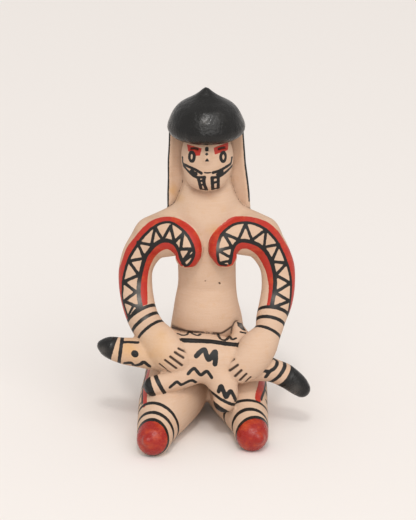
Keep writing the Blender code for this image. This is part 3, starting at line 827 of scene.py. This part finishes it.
def paintDoll(points, normals, forms):
    # Signed distances in mm to the edge of the black, the red and the pressed-in lines, negative inside
    black, red, slit = [np.full(len(points), farAway) for _ in range(3)]

    def owned(*names):
        # negative on the named forms, positive past the crease where another form begins
        mine = np.minimum.reduce([forms[name] for name in names])
        others = np.minimum.reduce([found for name, found in forms.items() if name not in names])
        return (mine - others) / 2

    def lay(whole, *limits):
        # Paint that lies where every limit is negative, added to what is there
        np.minimum(whole, np.maximum.reduce(limits), out=whole)

    def apply(names, marks, least=paintReach["turnedAway"]):
        region = owned(*names)
        here = np.flatnonzero(region < paintReach["mark"])
        found = frontMarks(points[here], normals[here], marks, least)
        for whole, part in zip((black, red, slit), found):
            whole[here] = np.minimum(whole[here], np.maximum(part, region[here]))

    def past(at, facing):
        return (points - np.array(at)) @ unit(np.array(facing))

    def away(at):
        return np.linalg.norm(points - np.array(at), axis=1)

    for side in ("Left", "Right"):
        apply(("arm" + side, "shoulders"), armMarks[side])
        apply(("hand" + side, "arm" + side), handMarks)
    apply(("head", "nose", "chin"), faceMarks)
    apply(("torso",), bodyMarks)
    animal = [name for name in forms if name.startswith("animal")]
    apply(animal, animalMarks)
    apply(animal + ["torso"], animalMarks, paintReach["ontoTorso"])

    hands = [name for name in forms if name.startswith("hand")]
    for name, rings in ringMarks.items():
        region = owned(name, *(hands if name.startswith("arm") else []))
        for at, facing, width in rings:
            lay(black, np.abs(past(at, facing)) - width / 2, region, away(at) - paintReach["ring"])
    for name, ends in blackEnds.items():
        for at, facing in ends:
            lay(black, -past(at, facing), owned(name), away(at) - paintReach["end"])

    for side, outward in (("Left", -1), ("Right", 1)):
        leg, panel = "leg" + side, panelMarks[side]
        # The foot is red past its last ring
        lay(red, -past(*ringMarks[leg][2][:2]), owned(leg, "toe" + side))
        # The leg's side laid flat: y forward in mm, and the angle round from the top times panelRadius
        around = np.arctan2(outward * normals[:, 0], normals[:, 2]) * panelMarks["panelRadius"]
        flat = np.column_stack([points[:, 1], around])
        centre = np.array(panelMarks["centre"]) * [outward, 1, 1]
        limits = owned(leg), away(centre) - panelMarks["reach"], forms[leg] - panelMarks["skin"]
        for whole, lines in ((black, panel["blackLines"]), (red, panel["redLines"])):
            for width, line in lines:
                lay(whole, lineDistance(flat, line)[0] - width / 2, *limits)

    lay(black, owned("cap"))
    # The hair is black on its sides, its back and a band beside each edge of its front
    left, right, _ = slabMiddle(points[:, 0], points[:, 2])
    band = np.where(points[:, 0] > 0, hairShape["blackEdges"][1], hairShape["blackEdges"][0])
    fromEdge = (right - left) / 2 - np.abs(points[:, 0] - (left + right) / 2) - band
    frontSpread, backSpread = hairShape["facingSpread"]
    slabSide = np.minimum((-hairShape["bareFacing"] - normals[:, 1]) * frontSpread, fromEdge)
    rightFront = (points[:, 0] > 12) & (normals[:, 1] < 0.5)
    shortRight = np.where(rightFront, hairShape["rightEdgeEnds"] - points[:, 2], -farAway)
    facingBack = (hairShape["backFacing"] - normals[:, 1]) * backSpread
    slabBack = np.maximum(forms["slab"] - hairShape["backReach"], facingBack)
    lay(black, slabSide, np.minimum(owned("slab"), slabBack), shortRight)
    return {"black": black, "red": red, "slit": slit}


print("forming the clay")
points, triangles = fusedSkin()
soft = surfaceFinish["smoothing"]
for _ in range(3):
    points = settle((1 - soft) * points + soft * neighbourMean(points, triangles))
points = settle(points)
print("clay formed:", len(points), "points")
for level in range(2):
    whole, forms = measureDoll(points)
    normals = unit(whole[1])
    paint = paintDoll(points, normals, forms)
    edge = np.minimum(np.abs(paint["black"]), np.abs(paint["red"]))
    fine = np.minimum(np.abs(paint["slit"]), np.where(forms["head"] < 1.5, edge, farAway))
    # Creases darkened by dirt and painted shade are refined as well
    creaseDarkened = np.maximum(whole[2], shadeAndSoilLine(points, normals)) > surfaceFinish["soilAndShadeShown"]
    near = (np.minimum(edge, fine) < surfaceFinish["edgeReach"]) | creaseDarkened
    wanted = near if level == 0 else fine < surfaceFinish["fineReach"]
    points, triangles = splitWhere(points, triangles, wanted[triangles].any(1))
    points = settle(points, 2)
    print("refined to", len(triangles), "triangles")

whole, forms = measureDoll(points)
normals = unit(whole[1])
offHead = smoothStep(-0.3, 0.3, np.minimum(forms["head"], forms["chin"]) - forms["neck"] / 2)
# Crease darkness: dirt in the joins, together with painted shade along the creases on the body
body = np.minimum.reduce([forms[name] for name in ("torso", "neck", "slab", "animalBody")])
crease = np.maximum(whole[2], shadeAndSoilLine(points, normals) * smoothStep(1.2, 0.4, body))
paint = paintDoll(points, normals, forms)
slope = surfaceFinish["pressEdge"]
groove = surfaceFinish["pressDepth"] * smoothStep(slope, -slope, paint["slit"])
waves = sum(np.sin(points @ np.array(direction) + start) for direction, start in surfaceFinish["waves"])
lift = surfaceFinish["unevenness"] * waves / 4 - groove
points = points + normals * np.where(points[:, 2] < 0.05, 0, lift)[:, None]
points[:, 2] = np.maximum(points[:, 2], 0)

# Fitted into the CAD box: each axis is scaled about the box's middle where the clay is larger than it
low, high = points.min(0), points.max(0)
size = np.minimum((highCorner - lowCorner) * 0.9998, high - low)
fitted = (points - (low + high) / 2) * size / (high - low) + (lowCorner + highCorner) / 2
fitted[:, 2] += lowCorner[2] - fitted[:, 2].min()
print("fit by", size / (high - low))

mesh = bpy.data.meshes.new("painted_doll")
mesh.from_pydata((fitted / 1000).tolist(), [], triangles.tolist())
mesh.polygons.foreach_set("use_smooth", np.ones(len(triangles), bool))
patches = {name: softPatch(points, normals, name) for name in softPatches}
patches["shade"] = patches["shade"] * offHead
for name, values in {**patches, "blackPaint": paint["black"], "redPaint": paint["red"],
                     "pressed": paint["slit"], "crease": crease,
                     "feet": smoothStep(*paintReach["feet"], points[:, 1])}.items():
    mesh.attributes.new(name, "FLOAT", "POINT").data.foreach_set("value", np.clip(values, -3, 3))
painted = placed("painted_doll", mesh)


class Wire:
    # A socket that can be used in sums: every operator adds its Math node
    def __init__(self, sheet, socket):
        self.sheet, self.socket = sheet, socket

    def maths(self, operation, first, second, clamp=False):
        settings = {"operation": operation, "use_clamp": clamp}
        return self.sheet.add("ShaderNodeMath", settings, {0: first, 1: second})

    def __add__(self, other):
        return self.maths("ADD", self, other)

    def __sub__(self, other):
        return self.maths("SUBTRACT", self, other)

    def __rsub__(self, other):
        return self.maths("SUBTRACT", other, self)

    def __mul__(self, other):
        return self.maths("MULTIPLY", self, other)

    def __truediv__(self, other):
        return self.maths("DIVIDE", self, other)

    def clamped(self):
        return self.maths("ADD", self, 0.0, clamp=True)

    __radd__ = __add__
    __rmul__ = __mul__


class MaterialSheet:
    # One material's nodes, added by type, settings and inputs
    def __init__(self, name):
        self.material = bpy.data.materials.new(name)
        self.material.use_nodes = True
        self.tree = self.material.node_tree
        self.shader = self.tree.nodes["Principled BSDF"]

    def add(self, kind, settings=None, inputs=None, output=0):
        node = self.tree.nodes.new(kind)
        for key, value in (settings or {}).items():
            setattr(node, key, value)
        self.plug(node, inputs or {})
        return Wire(self, node.outputs[output])

    def plug(self, node, inputs):
        for key, value in inputs.items():
            if isinstance(value, Wire):
                self.tree.links.new(value.socket, node.inputs[key])
            else:
                node.inputs[key].default_value = value

    def noise(self, where, scale, detail=3.0, roughness=0.55):
        return self.add("ShaderNodeTexNoise", {}, {"Vector": where, "Scale": scale, "Detail": detail,
                                                   "Roughness": roughness})

    def blend(self, amount, first, second):
        return self.add("ShaderNodeMix", {"data_type": "RGBA", "clamp_factor": True},
                        {0: amount, 6: first, 7: second}, 2)

    def attribute(self, name):
        return self.add("ShaderNodeAttribute", {"attribute_name": name}, {}, 2)


paintedClay = {
    "clay": (0.60, 0.41, 0.29, 1),
    "clayPale": (0.68, 0.49, 0.36, 1),
    "clayWarm": (0.60, 0.36, 0.20, 1),
    # creaseBrown: dirt and painted shade in the creases. shadeBrown: painted shadow under the chin.
    # pressedBrown: painted shade inside the pressed lines, and with dirt in the deepest creases
    "creaseBrown": (0.16, 0.075, 0.04, 1),
    "shadeBrown": (0.22, 0.095, 0.05, 1),
    "pressedBrown": (0.032, 0.017, 0.011, 1),
    "black": (0.008, 0.0075, 0.007, 1),
    "blackWorn": (0.05, 0.046, 0.042, 1),
    "blackRubbedAndSheen": (0.24, 0.22, 0.20, 1),
    "red": (0.45, 0.026, 0.014, 1),
    "redDeep": (0.29, 0.013, 0.009, 1),
    "redThin": (0.60, 0.085, 0.02, 1),
    "stain": (0.62, 0.36, 0.15, 1),
    "clayRoughness": 0.78,
    "blackRoughness": 0.52,
    "redRoughness": 0.42,
    "glazeRoughness": 0.27,   # where black or red covers more than a stroke's width
    "edgeSoftness": 0.2,      # mm over which a brush edge fades
    "edgeWander": 0.45,       # mm that a brush edge wanders
}


def makePaintedClay():
    look = paintedClay
    sheet = MaterialSheet("paintedClay")
    where = sheet.add("ShaderNodeTexCoord", {}, {}, 3)
    fine = sheet.noise(where, 1500.0, 4.0)
    brush = sheet.noise(where, 700.0, 2.0)
    middle = sheet.noise(where, 190.0, 4.0)
    broad = sheet.noise(where, 38.0, 3.0)
    stretched = sheet.add("ShaderNodeMapping", {}, {"Vector": where, "Scale": (1.0, 1.0, 14.0)})
    wiping = sheet.noise(stretched, 120.0, 3.0)

    def coverage(name):
        edge = sheet.attribute(name) + (brush - 0.5) * look["edgeWander"]
        return (0.5 - edge / look["edgeSoftness"]).clamped()
    black, red = coverage("blackPaint"), coverage("redPaint")
    soilAndShade, stain, wearAndSheen, feet = [sheet.attribute(name) for name in ("crease", "stain", "wearAndSheen", "feet")]
    # Creases darkened by dirt and painted shade: brown where the crease is soft, near black where it is
    # deepest
    dirtAndShade = (soilAndShade * 1.3 + (middle - 0.5) * 0.6 - 0.25).clamped()
    grimeAndShade = ((soilAndShade - 0.55) * 3.5 + (fine - 0.5)).clamped()
    # Pressed lines are painted near black: painted shade inside the grooves
    pressed = (0.5 - sheet.attribute("pressed") / surfaceFinish["pressEdge"]).clamped()

    colour = look["clay"]
    for amount, tone in (
            ((broad - 0.35) * 2.2, "clayPale"), ((middle - 0.54) * 2.0, "clayWarm"),
            ((wiping - 0.45) * 1.3, "clayPale"), ((0.42 - wiping) * 1.3, "clayWarm"),
            ((0.5 - fine) * 1.1, "clayWarm"), (stain * (middle + 0.2), "stain"),
            (dirtAndShade * 0.6, "creaseBrown"), (grimeAndShade * 0.85, "pressedBrown"),
            (sheet.attribute("shade"), "shadeBrown")):
        colour = sheet.blend(amount, colour, look[tone])
    thin = ((middle - 0.5) * 3.0 + (wiping - 0.5) + stain * 0.8).clamped()
    redColour = sheet.blend(feet * 0.8, look["red"], look["redDeep"])
    redColour = sheet.blend(thin, redColour, look["redThin"])
    colour = sheet.blend(red, colour, redColour)
    worn = ((middle - 0.6) * 3.0 + (fine - 0.5) * 1.6).clamped()
    blackColour = sheet.blend(worn * 0.6, look["black"], look["blackWorn"])
    # Black rubbed thin and painted sheen: lighter grey where those patches lie
    blackColour = sheet.blend(wearAndSheen * (fine + 0.25), blackColour, look["blackRubbedAndSheen"])
    colour = sheet.blend(black, colour, blackColour)
    colour = sheet.blend(pressed * 0.95, colour, look["pressedBrown"])

    covered = ((0 - sheet.attribute("blackPaint") - 1.2) / 1.2).clamped()
    covered = (covered + feet * red * 0.8).clamped()
    redShine = look["redRoughness"] - look["clayRoughness"] + (middle - 0.5) * 0.3
    roughness = look["clayRoughness"] + redShine * red
    roughness = roughness + (look["blackRoughness"] - roughness) * black
    roughness = roughness + (look["glazeRoughness"] - roughness + (middle - 0.5) * 0.5) * covered
    height = fine * 0.75 * (1 - black * 0.5) + wiping * 0.5 * (1 - black) + middle * (0.5 + covered * 1.6)
    height = height + (middle * 3.0 + brush) * covered
    height = height + (black + red) * 0.3
    bump = sheet.add("ShaderNodeBump", {}, {"Strength": 0.55, "Distance": 0.00025, "Height": height})
    sheet.plug(sheet.shader, {"Base Color": colour, "Roughness": roughness, "Normal": bump,
                              "Specular IOR Level": 0.38})
    return sheet.material


mesh.materials.append(makePaintedClay())
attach(painted, "root")
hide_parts("ceramic_doll")
print("doll painted")

studio = {
    "floorTone": (0.86, 0.82, 0.79, 1),
    "skyTone": (1.0, 0.98, 0.965, 1),
    "skyStrength": 0.62,
    # the broad light: the way it comes from, how wide it is in degrees, strength, tint
    "broadLight": ((0.18, -0.68, 0.74), 65.0, 1.40, (1.0, 0.98, 0.95)),
    # name: place in metres, size in metres, watts, tint
    "lamps": {"frontAbove": ((0.0, -0.85, 1.25), 0.2, 4.0, (1.0, 0.98, 0.96))},
    "lampAim": (0.0, 0.0, 0.08),
}


def hangLight(name, kind, way):
    # A light that shines back along way, which points from the doll to the light
    holder = placed(name, bpy.data.lights.new(name, kind))
    holder.rotation_euler = (np.arctan2(np.hypot(way[0], way[1]), way[2]), 0, np.arctan2(way[0], -way[1]))
    return holder


def buildStudio():
    # Floor: one flat square under everything, 12 m across
    corners = np.array([(-1, -1), (1, -1), (1, 1), (-1, 1)]) * 6.0
    ground = bpy.data.meshes.new("paleFloor")
    ground.from_pydata([(x, y, 0.0) for x, y in corners], [], [(0, 1, 2, 3)])
    sheet = MaterialSheet("palePaper")
    sheet.plug(sheet.shader, {"Base Color": studio["floorTone"], "Roughness": 0.95,
                              "Specular IOR Level": 0.1})
    ground.materials.append(sheet.material)
    placed("paleFloor", ground)
    world = bpy.data.worlds.new("studioAir")
    world.use_nodes = True
    air = world.node_tree.nodes["Background"]
    air.inputs["Color"].default_value = studio["skyTone"]
    air.inputs["Strength"].default_value = studio["skyStrength"]
    bpy.context.scene.world = world
    way, spread, strength, tint = studio["broadLight"]
    broad = hangLight("broadLight", "SUN", way).data
    broad.angle, broad.energy, broad.color = np.radians(spread), strength, tint
    for name, (place, size, watts, tint) in studio["lamps"].items():
        holder = hangLight(name, "AREA", np.array(place) - studio["lampAim"])
        holder.location = place
        lamp = holder.data
        lamp.shape, lamp.size, lamp.energy, lamp.color = "DISK", size, watts, tint


def placeCamera():
    shift = (lowCorner + highCorner - low - high) / 2 * [1, 1, 0]
    lens = bpy.data.cameras.new("view")
    lens.lens = photograph["lens"]
    lens.sensor_fit = "VERTICAL"
    lens.sensor_height = 36.0
    lens.clip_start, lens.clip_end = 0.05, 30.0
    camera = placed("view", lens)
    camera.location = (eyePlace + shift) / 1000
    camera.rotation_euler = (np.pi / 2 - tilt, 0, 0)
    bpy.context.scene.camera = camera


buildStudio()
placeCamera()
bpy.context.scene.view_settings.view_transform = "Standard"
print("stage set")
